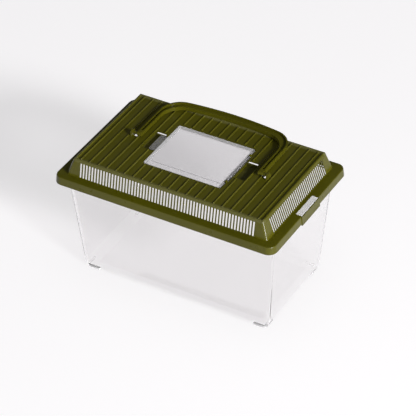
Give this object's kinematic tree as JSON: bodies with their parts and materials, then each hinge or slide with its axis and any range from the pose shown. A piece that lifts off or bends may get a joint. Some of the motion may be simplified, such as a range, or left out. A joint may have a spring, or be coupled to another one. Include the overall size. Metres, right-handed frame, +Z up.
{
  "type": "plastic pet keeper",
  "caption": "Clear tapered tank for small pets with an olive vented lid, a clear feeding hatch and a folding carry handle.",
  "frame": {"origin": "centre of the bounding box's footprint, on the table plane under the feet", "axes": "+X along the long side towards the hatch's hinge, +Y to the back where the handle lies folded, +Z up"},
  "size_m": [0.2748, 0.1704, 0.1606],
  "materials": {
    "clear_tank": "clear, polished",
    "olive_lid": "satin gloss",
    "olive_deck": "satin gloss",
    "clear_hatch": "clear, faintly grey",
    "olive_handle": "satin gloss"
  },
  "bodies": {
    "tank": {"tank": "clear_tank"},
    "lid": {"lid_rim": "olive_lid", "vent_front": "olive_lid", "vent_back": "olive_lid", "vent_left": "olive_lid", "vent_right": "olive_lid", "lid_deck": "olive_deck", "hatch_frame": "olive_deck", "finger_well": "olive_deck", "hinge_well": "olive_deck"},
    "hatch": {"hatch": "clear_hatch"},
    "handle": {"handle": "olive_handle"}
  },
  "joints": [
    {"name": "lid_lift", "type": "slide", "parent": "tank", "child": "lid", "axis": [0, 0, 1], "range_m": [0, 0.06]},
    {"name": "hatch_hinge", "type": "hinge", "parent": "lid", "child": "hatch", "pos_m": [0.048, 0, 0.1534], "axis": [0, 1, 0], "range_deg": [0, 100]},
    {"name": "handle_hinge", "type": "hinge", "parent": "lid", "child": "handle", "pos_m": [0, 0, 0.1574], "axis": [1, 0, 0], "range_deg": [0, 180]}
  ]
}
